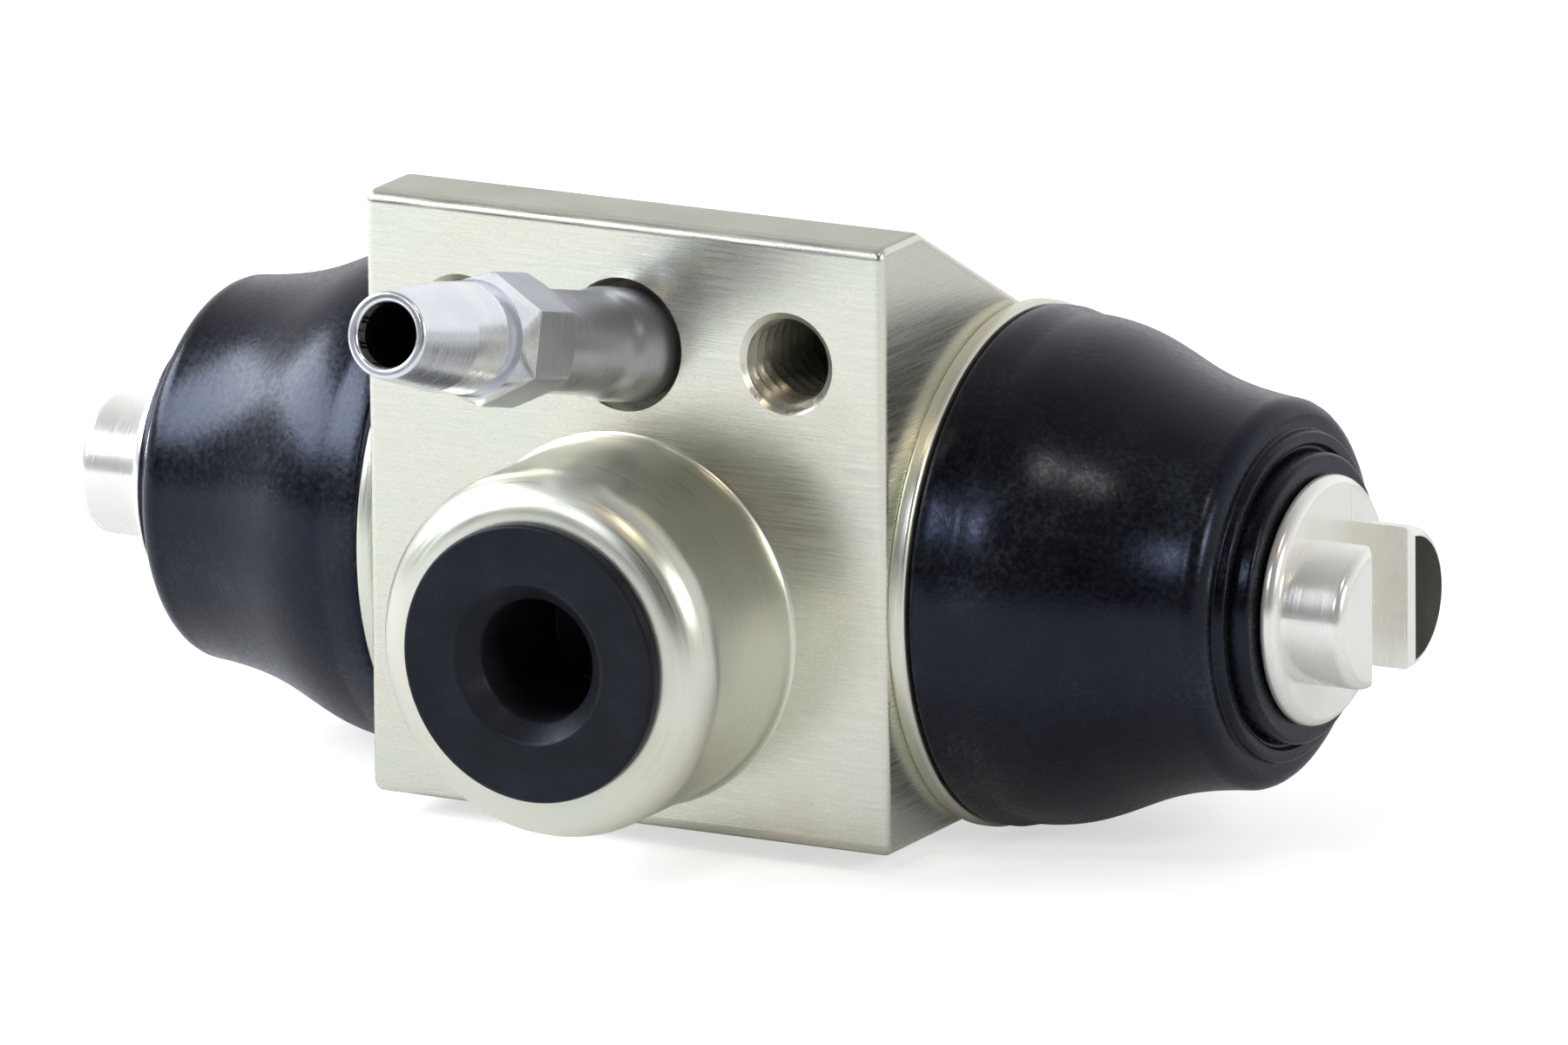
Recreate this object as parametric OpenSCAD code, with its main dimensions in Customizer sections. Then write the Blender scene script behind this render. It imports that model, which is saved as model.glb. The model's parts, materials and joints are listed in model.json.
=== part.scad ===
// Hydraulic wheel cylinder for a drum brake: a cast housing with two opposed pistons, their cups and spring,
// two rubber dust boots, a bleed screw and the plug that closes the fluid inlet.
// X runs along the bore, -Y points out of the mounting face and +Z is up as fitted.
// The origin is where the axis of the pilot boss meets the mounting face. Millimetres.

/* [Housing] */
// Diameter of the bore
bore_d = 17.46; // [15:0.01:19.1]
// Width of the machined block along the bore
block_w = 35.4; // [33:0.2:44]
// Distance from the bore axis back to the mounting face
face_depth = 16.2; // [15.6:0.1:20]
// Radius of the round back of the block
barrel_r = 15; // [14.4:0.1:15.6]
// Height of the block's top above the bore axis
head_top = 22.8; // [21:0.1:27]
// Depth of the flat top behind the mounting face
head_depth = 4.9; // [3:0.1:8]
// Radius of the round flange at each end of the block
flange_r = 16; // [15.8:0.1:19]
// Thickness of that flange
flange_t = 1.1; // [0.8:0.1:2.5]
// Wall of the nose that carries each boot, outside the bore
nose_wall = 4.9; // [4.4:0.1:5.4]
// Length of the nose beyond the flange
nose_len = 4.2; // [3.8:0.1:5]
// Depth of the boot's groove in the nose
groove_depth = 1; // [0.6:0.1:1.4]
// Width of the boot's groove
groove_w = 2; // [1.4:0.1:2.2]

/* [Inlet boss] */
// Diameter of the pilot boss
boss_d = 22.6; // [20:0.1:23.4]
// Length of the boss in front of the mounting face
boss_len = 11.4; // [9:0.1:14]
// Radius of the boss's rounded front edge
boss_edge = 2.7; // [1:0.1:2.8]
// Drop of the boss axis below the bore axis
boss_drop = 1.9; // [0:0.1:2.2]
// Core diameter of the M10 x 1 inlet thread
inlet_core_d = 9; // [8.6:0.1:10]
// Depth of the inlet thread from the boss front
inlet_depth = 13; // [11:0.5:15]
// Diameter of the drilled fluid passages
passage_d = 2.2; // [1.6:0.1:3]

/* [Mounting holes] */
// Distance between the two mounting holes
hole_spacing = 22.2; // [20:0.1:24]
// Height of the holes and the bleed screw above the boss axis
row_height = 17; // [16.8:0.1:18]
// Core diameter of the M6 threads
hole_core_d = 5; // [4:0.1:5.2]
// Diameter of the countersink at each mouth
hole_mouth_d = 6.3; // [5.6:0.1:7]
// Depth of the mounting holes
hole_depth = 12; // [8:0.5:14]

/* [Bleed screw] */
// Upward tilt of the screw from square to the mounting face
bleed_tilt = 13.5; // [10:0.5:16]
// Diameter of the screw's thread
bleed_thread_d = 6; // [5:0.1:6.2]
// Length of the screw inside the housing
bleed_inside = 13; // [11:0.5:14]
// Length of the screw outside the housing
bleed_outside = 29.6; // [27:0.1:34]
// Diameter of the collar at the mounting face
bleed_collar_d = 6.9; // [6.7:0.1:7]
// Diameter of the neck below the hexagon
bleed_neck_d = 6.3; // [5.8:0.1:6.5]
// Hexagon across flats
bleed_hex_af = 7; // [6.8:0.1:9]
// Length of the hexagon
bleed_hex_len = 6.7; // [4:0.1:8]
// Length of the turned lead-in at the hexagon's nozzle end
bleed_hex_lead = 2; // [0.6:0.1:3]
// Distance from the mounting face to the hexagon
bleed_hex_at = 12.4; // [9:0.1:13]
// Diameter of the hose barb's widest ring
barb_d = 6.8; // [6:0.1:6.8]
// Distance from the hexagon to that ring
barb_gap = 1.5; // [1.3:0.1:4]
// Length of the barb before it tapers to the tip
barb_len = 3.4; // [1:0.1:5]
// Diameter of the nozzle's tip
tip_d = 5.2; // [4.8:0.1:5.6]
// Diameter of the hole in the tip
tip_hole_d = 3.9; // [3:0.1:4.2]

/* [Inlet plug] */
// Diameter of the plug's flange
plug_flange_d = 17.1; // [13:0.1:17.2]
// Thickness of the plug's flange
plug_flange_t = 0.8; // [0.6:0.1:2]
// Length of the plug's stem inside the inlet
plug_stem_len = 10; // [6:0.5:10.5]
// Wall of the plug's stem
plug_wall = 0.7; // [0.5:0.05:1.2]

/* [Pistons] */
// Reach of each piston's end beyond the flange
piston_reach = 24.7; // [23.5:0.1:27]
// Overall length of each piston
piston_len = 31; // [29:0.1:32]
// Width across the two prongs at the piston's end
prong_span = 13.8; // [13:0.1:14]
// Height of the prongs
prong_height = 8.8; // [8:0.1:9.4]
// Length of the prongs in front of the collar
prong_len = 4.1; // [3.5:0.1:5]
// Radius of the prongs' rounded edge
prong_edge = 0.7; // [0.3:0.1:1.2]
// Diameter of the collar in front of the boot
collar_d = 15.2; // [14.4:0.1:15.6]
// Thickness of the collar
collar_t = 1.1; // [0.8:0.1:1.6]
// Diameter of the neck that the boot's lip grips
neck_d = 13.2; // [11.6:0.1:13.6]
// Length of that neck
neck_len = 3.9; // [3.7:0.1:4.5]
// Width of the slot for the brake shoe's web
slot_w = 5; // [4.2:0.1:6]

/* [Seals and spring] */
// Length of each cup seal
cup_len = 4.5; // [4:0.1:5.5]
// Thickness of the cup's lip
cup_lip = 1.6; // [1.2:0.1:2]
// Thickness of the cup's base
cup_base = 2; // [1.4:0.1:2.4]
// Thickness of the steel expander's disc
expander_t = 0.8; // [0.6:0.1:1.2]
// Diameter of the spring wire
wire_d = 1.2; // [0.8:0.1:1.4]
// Number of turns in the spring
spring_turns = 6; // [4:1:7]

/* [Dust boots] */
// Radius of the boot's root beside the flange
boot_root_r = 15.8; // [15.6:0.1:16.2]
// Radius of the bead at the boot's small end
boot_bead_r = 11.9; // [11.4:0.1:12.6]
// Thickness of the rubber wall
boot_wall = 1.6; // [1.2:0.1:1.8]

/* [Fits] */
// Radial clearance of the pistons in the bore
piston_clear = 0.04; // [0.02:0.01:0.08]
// Radial clearance of the cups in the bore
cup_clear = 0.06; // [0.03:0.01:0.1]
// Radial clearance of the bleed screw in its hole
bleed_clear = 0.06; // [0.03:0.01:0.1]
// Clearance around the fixed rubber and plastic parts
soft_clear = 0.05; // [0.02:0.01:0.1]
// Clearance between a boot's lip and the piston's neck
lip_clear = 0.12; // [0.05:0.01:0.2]
// End clearance of the spring
spring_clear = 0.15; // [0.1:0.05:0.4]

/* [Hidden] */
$fn = 96;
cut = 1;
bore_r = bore_d / 2;
half_w = block_w / 2;
rim_x = half_w + flange_t;
nose_r = bore_r + nose_wall;
nose_end_x = rim_x + nose_len;
groove_x = rim_x + (nose_len - groove_w) / 2;
edge_chamfer = 0.5;
// The flats of the block run this far inside the round back, so that they cut it cleanly
flat_step = 0.3;
flat_r = barrel_r - flat_step;
// Where the sloping top meets the round back, seen along the bore
slope_from = [head_depth - face_depth, head_top];
slope_angle = atan2(slope_from[1], slope_from[0]) - acos(flat_r / norm(slope_from));
slope_to = flat_r * [cos(slope_angle), sin(slope_angle)];

boss_r = boss_d / 2;
inlet_core_r = inlet_core_d / 2;
bleed_hole_r = bleed_thread_d / 2 + bleed_clear;
bleed_recess_r = bleed_collar_d / 2 + 0.55;
bleed_recess_depth = 1.6;
bleed_seat_len = 2;
bleed_hex_end = bleed_hex_at + bleed_hex_len;
barb_at = bleed_hex_end + barb_gap;

piston_r = bore_r - piston_clear;
piston_end_x = rim_x + piston_reach;
collar_front_x = piston_end_x - prong_len;
collar_back_x = collar_front_x - collar_t;
neck_x = collar_back_x - neck_len;
piston_in_x = piston_end_x - piston_len;
cup_r = bore_r - cup_clear;
cup_in_x = piston_in_x - cup_len;
cup_floor_x = piston_in_x - cup_base;
expander_r = cup_r - cup_lip - lip_clear;
expander_x = cup_floor_x - expander_t;
hub_r = expander_r / 2;
hub_len = 2;
spring_r = hub_r + wire_d / 2 + spring_clear;
spring_half = expander_x - spring_clear;

lip_r = neck_d / 2 + lip_clear;
lip_front_s = collar_back_x - rim_x - lip_clear;
lip_back_s = neck_x - rim_x + lip_clear;
bead_edge = 1.4;
bead_s = lip_front_s - 3.1;
shoulder_s = 2.5;
shoulder_r = boot_root_r - 0.3;

// Points on a circular arc, from one angle to another
function arc(centre, radius, from, to, steps = 8) =
    [for (i = [0:steps]) let (a = from + (to - from) * i / steps) centre + radius * [cos(a), sin(a)]];

// Points on a cubic curve through its two ends
function curve(a, b, c, d, steps = 14) =
    [for (i = [0:steps]) let (t = i / steps, u = 1 - t) u*u*u*a + 3*u*u*t*b + 3*u*t*t*c + t*t*t*d];

// Swaps each [along, radius] pair into the [radius, along] pair of a turned outline
function turned(points) = [for (p = points) [p[1], p[0]]];

// Moves its children from the bore axis to their place in the part's frame
module at_bore() translate([0, face_depth, boss_drop]) children();

// Points its children's +Z out of the mounting face along the bleed screw
module at_bleed() translate([0, 0, row_height]) rotate([90 - bleed_tilt, 0, 0]) children();

// Points its children's +Z out of the mounting face along the boss
module at_boss() rotate([90, 0, 0]) children();

// Turns an outline of [radius, along] points about the bore axis
module turned_on_bore(points) rotate([0, 90, 0]) rotate_extrude() polygon(points);

// Puts a right-hand piece on the chosen side of the housing
module on_side(side) at_bore() mirror([side == "left" ? 1 : 0, 0, 0]) children();

module block_outline() {
    circle(r = barrel_r);
    polygon([[0, -flat_r], [-face_depth, -flat_r], [-face_depth, head_top], slope_from, slope_to, [0, 0]]);
}

module flange_and_nose() {
    root_r = nose_r - groove_depth;
    turned_on_bore([
        [0, half_w - cut], [root_r, half_w - cut], [root_r, half_w], [flange_r, half_w], [flange_r, rim_x],
        [nose_r, rim_x], [nose_r, groove_x], [root_r, groove_x], [root_r, groove_x + groove_w],
        [nose_r, groove_x + groove_w], [nose_r, nose_end_x - edge_chamfer],
        [nose_r - edge_chamfer, nose_end_x], [0, nose_end_x]]);
}

module pilot_boss() {
    rounded_front = arc([boss_r - boss_edge, boss_len - boss_edge], boss_edge, 0, 90);
    at_boss() rotate_extrude() polygon(concat([[0, -cut], [boss_r, -cut]], rounded_front, [[0, boss_len]]));
}

module bore_cut() {
    mouth_r = bore_r + edge_chamfer;
    turned_on_bore([
        [0, -nose_end_x - cut], [mouth_r, -nose_end_x - cut], [mouth_r, -nose_end_x],
        [bore_r, -nose_end_x + edge_chamfer], [bore_r, nose_end_x - edge_chamfer],
        [mouth_r, nose_end_x], [mouth_r, nose_end_x + cut], [0, nose_end_x + cut]]);
}

module mounting_hole_cut() {
    core_r = hole_core_d / 2;
    mouth_r = hole_mouth_d / 2;
    at_boss() rotate_extrude() polygon([
        [0, -hole_depth - core_r / 2], [core_r, -hole_depth], [core_r, core_r - mouth_r], [mouth_r, 0],
        [mouth_r, cut], [0, cut]]);
}

module inlet_cut() {
    seat_from = boss_len - inlet_depth;
    at_boss() {
        rotate_extrude() polygon([
            [0, seat_from - inlet_core_r / 2], [inlet_core_r, seat_from],
            [inlet_core_r, boss_len + cut], [0, boss_len + cut]]);
        translate([0, 0, -face_depth]) cylinder(d = passage_d, h = face_depth + boss_len);
    }
}

module bleed_cut() {
    inner_end = bleed_inside + bleed_clear;
    at_bleed() rotate_extrude() polygon([
        [0, -inner_end], [passage_d / 2, -inner_end], [bleed_hole_r, bleed_seat_len - inner_end],
        [bleed_hole_r, -bleed_recess_depth], [bleed_recess_r, -bleed_recess_depth],
        [bleed_recess_r, 2 * bleed_recess_r], [0, 2 * bleed_recess_r]]);
    passage_y = (bleed_inside - bleed_seat_len / 2) * cos(bleed_tilt);
    passage_top = row_height - passage_y * tan(bleed_tilt);
    translate([0, passage_y, boss_drop]) cylinder(d = passage_d, h = passage_top - boss_drop);
}

module housing() color([0.74, 0.74, 0.66]) difference() {
    union() {
        at_bore() {
            rotate([90, 0, 90]) linear_extrude(block_w, center = true) block_outline();
            for (side = [0, 1]) mirror([side, 0, 0]) flange_and_nose();
        }
        pilot_boss();
    }
    at_bore() bore_cut();
    for (x = [-hole_spacing / 2, hole_spacing / 2]) translate([x, 0, row_height]) mounting_hole_cut();
    inlet_cut();
    bleed_cut();
}

module bleed_hexagon() {
    face_r = bleed_hex_af / 2;
    corner_r = face_r / cos(30);
    chamfer = corner_r - face_r;
    intersection() {
        translate([0, 0, bleed_hex_at]) rotate([0, 0, 90]) cylinder(r = corner_r, h = bleed_hex_len, $fn = 6);
        rotate_extrude() polygon([
            [0, bleed_hex_at], [face_r, bleed_hex_at], [corner_r, bleed_hex_at + chamfer],
            [corner_r, bleed_hex_end - bleed_hex_lead], [face_r, bleed_hex_end], [0, bleed_hex_end]]);
    }
}

module bleed_screw() color([0.70, 0.73, 0.78]) at_bleed() difference() {
    thread_r = bleed_thread_d / 2;
    collar_r = bleed_collar_d / 2;
    neck_r = bleed_neck_d / 2;
    tip_r = tip_d / 2;
    barb_r = barb_d / 2;
    throat_r = tip_r + 0.15;
    seat_end = bleed_clear - bleed_inside;
    passage_from = bleed_seat_len - bleed_inside + cut;
    collar_back = 0.3 - bleed_recess_depth;
    collar_end = 2.6;
    union() {
        rotate_extrude() polygon(concat([
            [0, seat_end], [passage_d / 2 - bleed_clear, seat_end],
            [thread_r, seat_end + bleed_seat_len], [thread_r, collar_back], [collar_r - 0.3, collar_back],
            [collar_r, collar_back + 0.3], [collar_r, collar_end]],
            curve([collar_r, collar_end], [collar_r, collar_end + 1.4], [neck_r, collar_end + 1.2],
                [neck_r, collar_end + 2.6], 6),
            [[neck_r, bleed_hex_at + cut], [0, bleed_hex_at + cut]]));
        bleed_hexagon();
        rotate_extrude() polygon(concat([
            [0, bleed_hex_end - cut], [throat_r, bleed_hex_end - cut], [throat_r, barb_at - 1.2]],
            arc([barb_r - 0.9, barb_at], 0.9, -50, 0), [[barb_r - 0.15, barb_at + barb_len]],
            [[tip_r, bleed_outside - 0.4]], arc([tip_r - 0.4, bleed_outside - 0.4], 0.4, 0, 90, 4),
            [[0, bleed_outside]]));
    }
    translate([0, 0, bleed_hex_end]) cylinder(d = tip_hole_d, h = bleed_outside);
    translate([0, 0, passage_from]) cylinder(d = passage_d, h = bleed_hex_end + cut - passage_from);
    translate([-thread_r - cut, 0, passage_from + passage_d / 2])
        rotate([0, 90, 0]) cylinder(d = passage_d / 2, h = 2 * (thread_r + cut));
}

module inlet_plug() color([0.10, 0.11, 0.12]) at_boss() {
    stem_r = inlet_core_r - soft_clear;
    hollow_r = stem_r - plug_wall;
    front = boss_len + plug_flange_t;
    stem_end = boss_len - plug_stem_len;
    disc_r = plug_flange_d / 2;
    edge = 0.25;
    bevel = 1.2;
    rotate_extrude() polygon([
        [0, stem_end], [stem_r - bevel / 2, stem_end], [stem_r, stem_end + bevel], [stem_r, boss_len],
        [disc_r, boss_len], [disc_r, front - edge], [disc_r - edge, front],
        [hollow_r + bevel, front], [hollow_r, front - bevel], [hollow_r, stem_end + plug_wall],
        [0, stem_end + plug_wall]]);
}

module piston(side) color([0.86, 0.86, 0.82]) on_side(side) difference() {
    collar_r = collar_d / 2;
    neck_r = neck_d / 2;
    back_chamfer = 0.3;
    front_chamfer = 0.6;
    prong_r = prong_height / 2;
    prong_y = prong_span / 2 - prong_r;
    union() {
        turned_on_bore([
            [0, piston_in_x], [piston_r - edge_chamfer, piston_in_x], [piston_r, piston_in_x + edge_chamfer],
            [piston_r, neck_x - edge_chamfer], [piston_r - edge_chamfer, neck_x], [neck_r, neck_x],
            [neck_r, collar_back_x], [collar_r - back_chamfer, collar_back_x],
            [collar_r, collar_back_x + back_chamfer], [collar_r, collar_front_x - front_chamfer],
            [collar_r - front_chamfer, collar_front_x], [0, collar_front_x]]);
        for (y = [-prong_y, prong_y]) translate([0, y, 0]) turned_on_bore(concat(
            [[0, collar_front_x - collar_t / 2], [prong_r, collar_front_x - collar_t / 2]],
            turned(arc([piston_end_x - prong_edge, prong_r - prong_edge], prong_edge, 90, 0)),
            [[0, piston_end_x]]));
    }
    translate([collar_front_x, -slot_w / 2, -prong_height]) cube([prong_len + cut, slot_w, 2 * prong_height]);
}

module cup_seal(side) color([0.09, 0.09, 0.10]) on_side(side) {
    inner_r = cup_r - cup_lip;
    relief = 0.4;
    turned_on_bore([
        [0, cup_floor_x], [inner_r, cup_floor_x], [inner_r + relief, cup_in_x + relief],
        [cup_r - relief, cup_in_x], [cup_r, cup_in_x + relief], [cup_r, piston_in_x - relief],
        [cup_r - relief, piston_in_x], [0, piston_in_x]]);
}

module cup_expander(side) color([0.66, 0.66, 0.64]) on_side(side) {
    turned_on_bore([
        [0, expander_x - hub_len], [hub_r - edge_chamfer, expander_x - hub_len],
        [hub_r, expander_x - hub_len + edge_chamfer], [hub_r, expander_x], [expander_r, expander_x],
        [expander_r, cup_floor_x], [0, cup_floor_x]]);
}

// One ring of the wire's section at a share u of the spring's length
function wire_ring(u, sides) =
    let (
        angle = 360 * spring_turns * u,
        closed = 1 / spring_turns,
        from = -spring_half + wire_d / 2,
        to = -from,
        open_share = (u - closed) / (1 - 2 * closed),
        x = u < closed ? from + u / closed * wire_d
            : u > 1 - closed ? to - (1 - u) / closed * wire_d
            : from + wire_d + open_share * (to - from - 2 * wire_d))
    [for (k = [0:sides - 1]) let (a = 360 * k / sides, r = spring_r + wire_d / 2 * cos(a))
        [x + wire_d / 2 * sin(a), r * cos(angle), r * sin(angle)]];

module return_spring() color([0.45, 0.46, 0.48]) at_bore() {
    sides = 8;
    rings = 24 * spring_turns;
    points = [for (i = [0:rings]) each wire_ring(i / rings, sides)];
    walls = [for (i = [0:rings - 1], k = [0:sides - 1])
        let (a = i * sides + k, b = i * sides + (k + 1) % sides) [a, b, b + sides, a + sides]];
    first_end = [for (k = [sides - 1:-1:0]) k];
    last_end = [for (k = [0:sides - 1]) rings * sides + k];
    polyhedron(points, concat(walls, [first_end, last_end]));
}

// Section of a boot, as [along, radius] points counted from the flange
function boot_outside() = concat(
    [[soft_clear, boot_root_r - 0.4], [0.5, boot_root_r], [1.3, boot_root_r]],
    curve([shoulder_s, shoulder_r], [shoulder_s + 5.5, shoulder_r - 0.1], [bead_s - 7.8, boot_bead_r + 0.7],
        [bead_s, boot_bead_r]),
    arc([bead_s, boot_bead_r - bead_edge], bead_edge, 75, 0, 5));
function boot_front_rings() =
    let (f = lip_front_s, r = boot_bead_r - bead_edge)
    [[f - 1.95, r - 0.25], [f - 1.95, r - 0.5], [f - 1.25, r - 0.7], [f - 1.05, r - 0.85],
        [f - 1.05, r - 1.15], [f - 1.45, r - 1.35], [f - 1.45, r - 1.55], [f - 0.5, r - 1.8], [f, r - 2.2]];
function boot_inside() =
    let (
        cavity_end = bead_s - 1.2,
        hub_r = lip_r + boot_wall,
        nose_fit = nose_r + soft_clear,
        root_fit = nose_r - groove_depth + soft_clear,
        groove_s = groove_x - rim_x)
    concat(
        [[lip_front_s, lip_r], [lip_back_s, lip_r], [lip_back_s, hub_r], [cavity_end, piston_r + 0.4]],
        curve([cavity_end, boot_bead_r - boot_wall], [bead_s - 8.6, boot_bead_r - boot_wall + 0.5],
            [shoulder_s + 4.5, shoulder_r - boot_wall], [nose_len + 0.4, nose_fit + 0.2]),
        [[nose_len + 0.2, nose_fit], [groove_s + groove_w - soft_clear, nose_fit],
            [groove_s + groove_w - soft_clear, root_fit], [groove_s + soft_clear, root_fit],
            [groove_s + soft_clear, nose_fit], [soft_clear, nose_fit]]);

module dust_boot(side) color([0.07, 0.07, 0.09]) on_side(side) translate([rim_x, 0, 0])
    turned_on_bore(turned(concat(boot_outside(), boot_front_rings(), boot_inside())));

housing();
bleed_screw();
inlet_plug();
return_spring();
piston("left");  // piston_left
piston("right");  // piston_right
cup_seal("left");  // cup_seal_left
cup_seal("right");  // cup_seal_right
cup_expander("left");  // cup_expander_left
cup_expander("right");  // cup_expander_right
dust_boot("left");  // dust_boot_left
dust_boot("right");  // dust_boot_right
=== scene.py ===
import json
import math

import bmesh
import bpy
from mathutils import Matrix, Vector


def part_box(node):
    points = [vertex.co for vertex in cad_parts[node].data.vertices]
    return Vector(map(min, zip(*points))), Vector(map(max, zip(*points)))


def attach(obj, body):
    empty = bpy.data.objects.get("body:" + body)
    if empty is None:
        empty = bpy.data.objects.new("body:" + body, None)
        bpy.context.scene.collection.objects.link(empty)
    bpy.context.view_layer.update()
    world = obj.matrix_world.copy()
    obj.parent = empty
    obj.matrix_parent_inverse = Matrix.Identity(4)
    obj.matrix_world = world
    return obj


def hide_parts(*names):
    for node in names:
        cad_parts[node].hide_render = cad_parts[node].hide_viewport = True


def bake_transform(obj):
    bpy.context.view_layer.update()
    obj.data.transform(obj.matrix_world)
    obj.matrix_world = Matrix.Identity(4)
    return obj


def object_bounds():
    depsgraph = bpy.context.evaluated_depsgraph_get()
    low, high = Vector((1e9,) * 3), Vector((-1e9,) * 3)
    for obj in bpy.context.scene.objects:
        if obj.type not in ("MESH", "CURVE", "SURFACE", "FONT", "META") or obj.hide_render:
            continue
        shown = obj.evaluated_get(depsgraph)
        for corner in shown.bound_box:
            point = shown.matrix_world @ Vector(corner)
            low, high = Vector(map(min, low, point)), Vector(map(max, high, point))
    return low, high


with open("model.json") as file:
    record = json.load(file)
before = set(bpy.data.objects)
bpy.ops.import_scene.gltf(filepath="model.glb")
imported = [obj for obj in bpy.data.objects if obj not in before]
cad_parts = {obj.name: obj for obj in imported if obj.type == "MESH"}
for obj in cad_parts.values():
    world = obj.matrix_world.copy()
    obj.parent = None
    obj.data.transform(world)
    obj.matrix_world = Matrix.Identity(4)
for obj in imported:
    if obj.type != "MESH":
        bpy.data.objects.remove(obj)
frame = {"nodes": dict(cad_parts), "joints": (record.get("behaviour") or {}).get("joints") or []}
cad_low, cad_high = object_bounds()

# Housing
# One iron casting, zinc plated all over. The mounting face and the block's ends are milled, the pilot boss,
# the end flanges and the noses that hold the boots are turned, and the sloping back keeps its cast skin.
mm = 0.001
right = Vector((1, 0, 0))
up = Vector((0, 0, 1))
forward = Vector((0, -1, 0))
housing_low, housing_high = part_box("housing")
piston_low, piston_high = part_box("piston_right")
piston_r = (piston_high.z - piston_low.z) / 2
bore_clear = 0.04 * mm
bore_r = piston_r + bore_clear
bore_y = (piston_low.y + piston_high.y) / 2
bore_z = (piston_low.z + piston_high.z) / 2
bore_centre = Vector((0, bore_y, bore_z))
overrun = 1 * mm


def finish(name, shades, patch, grain, roughness, relief, sockets, stretch=(1, 1, 1)):
    """A surface finish: patches of several shades, with fine marks of a given grain, stretched along the
    axes, that vary the roughness between its two limits and stand out by the relief."""
    mark_share = 0.3
    noise_low = 0.3
    noise_high = 0.7
    material = bpy.data.materials.new(name)
    material.use_nodes = True
    nodes = material.node_tree.nodes
    links = material.node_tree.links
    shader = nodes["Principled BSDF"]
    place = nodes.new("ShaderNodeTexCoord")
    patches = nodes.new("ShaderNodeTexNoise")
    patches.inputs["Scale"].default_value = 1 / patch
    patches.inputs["Detail"].default_value = 4
    links.new(place.outputs["Object"], patches.inputs["Vector"])
    direction = nodes.new("ShaderNodeMapping")
    direction.inputs["Scale"].default_value = [1 / (grain * share) for share in stretch]
    links.new(place.outputs["Object"], direction.inputs["Vector"])
    marks = nodes.new("ShaderNodeTexNoise")
    marks.inputs["Scale"].default_value = 1
    marks.inputs["Detail"].default_value = 3
    links.new(direction.outputs["Vector"], marks.inputs["Vector"])
    blend = nodes.new("ShaderNodeMix")
    blend.inputs["Factor"].default_value = mark_share
    links.new(patches.outputs["Fac"], blend.inputs["A"])
    links.new(marks.outputs["Fac"], blend.inputs["B"])
    ramp = nodes.new("ShaderNodeValToRGB")
    stops = ramp.color_ramp.elements
    for index, shade in enumerate(shades):
        stop = stops[index] if index < 2 else stops.new(1)
        stop.position = noise_low + (noise_high - noise_low) * index / (len(shades) - 1)
        stop.color = (*shade, 1)
    links.new(blend.outputs["Result"], ramp.inputs["Fac"])
    links.new(ramp.outputs["Color"], shader.inputs["Base Color"])
    gloss = nodes.new("ShaderNodeMapRange")
    gloss.inputs["From Min"].default_value = noise_low
    gloss.inputs["From Max"].default_value = noise_high
    gloss.inputs["To Min"].default_value = roughness[0]
    gloss.inputs["To Max"].default_value = roughness[1]
    links.new(marks.outputs["Fac"], gloss.inputs["Value"])
    links.new(gloss.outputs["Result"], shader.inputs["Roughness"])
    height = nodes.new("ShaderNodeBump")
    height.inputs["Distance"].default_value = relief
    links.new(marks.outputs["Fac"], height.inputs["Height"])
    links.new(height.outputs["Normal"], shader.inputs["Normal"])
    for socket, value in sockets.items():
        shader.inputs[socket].default_value = value
    return material


def shown(name, shape, place, materials):
    """A new piece of that mesh shape, at its place, with its materials."""
    mesh = bpy.data.meshes.new(name)
    bmesh.ops.recalc_face_normals(shape, faces=shape.faces)
    shape.to_mesh(mesh)
    shape.free()
    for material in materials:
        mesh.materials.append(material)
    piece = bpy.data.objects.new(name, mesh)
    piece.matrix_world = place
    bpy.context.scene.collection.objects.link(piece)
    return piece


def softened(corners, steps=6):
    """An outline whose corners, given as (along, radius, rounding), are rounded off by arcs."""
    points = []
    for index, (along, radius, rounding) in enumerate(corners):
        here = Vector((along, radius))
        if rounding == 0:
            points.append((along, radius))
            continue
        before = (Vector(corners[index - 1][:2]) - here).normalized()
        after = (Vector(corners[(index + 1) % len(corners)][:2]) - here).normalized()
        half = before.angle(after) / 2
        middle = here + (before + after).normalized() * rounding / math.sin(half)
        reach = rounding / math.tan(half)
        from_middle = here + before * reach - middle
        to_middle = here + after * reach - middle
        start = math.atan2(from_middle.y, from_middle.x)
        turn = math.atan2(to_middle.y, to_middle.x) - start
        turn = (turn + math.pi) % (2 * math.pi) - math.pi
        for step in range(steps + 1):
            angle = start + turn * step / steps
            points.append((middle.x + rounding * math.cos(angle), middle.y + rounding * math.sin(angle)))
    return points


# The casting's block
block_half = 17.7 * mm
block_top = housing_high.z - bore_z
block_top_depth = 4.9 * mm
barrel_r = 15 * mm
flat_r = 14.7 * mm
block_corner = 0.8 * mm
block_edge = 0.55 * mm
slope_from = Vector((block_top_depth - bore_y, block_top))
slope_lean = math.atan2(slope_from.y, slope_from.x) - math.acos(flat_r / slope_from.length)
zinc_shades = [(0.66, 0.65, 0.54), (0.77, 0.745, 0.65), (0.73, 0.755, 0.655), (0.84, 0.79, 0.71)]
zinc_patch = 9 * mm
zinc_sockets = {"Metallic": 0.95}
milled_zinc = finish("milled_zinc", zinc_shades, patch=zinc_patch, grain=0.12 * mm, stretch=(40, 40, 1),
                     roughness=(0.22, 0.34), relief=0.004 * mm, sockets=zinc_sockets)
cast_shades = [(0.48, 0.48, 0.41), (0.55, 0.54, 0.47), (0.59, 0.58, 0.51)]
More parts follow.
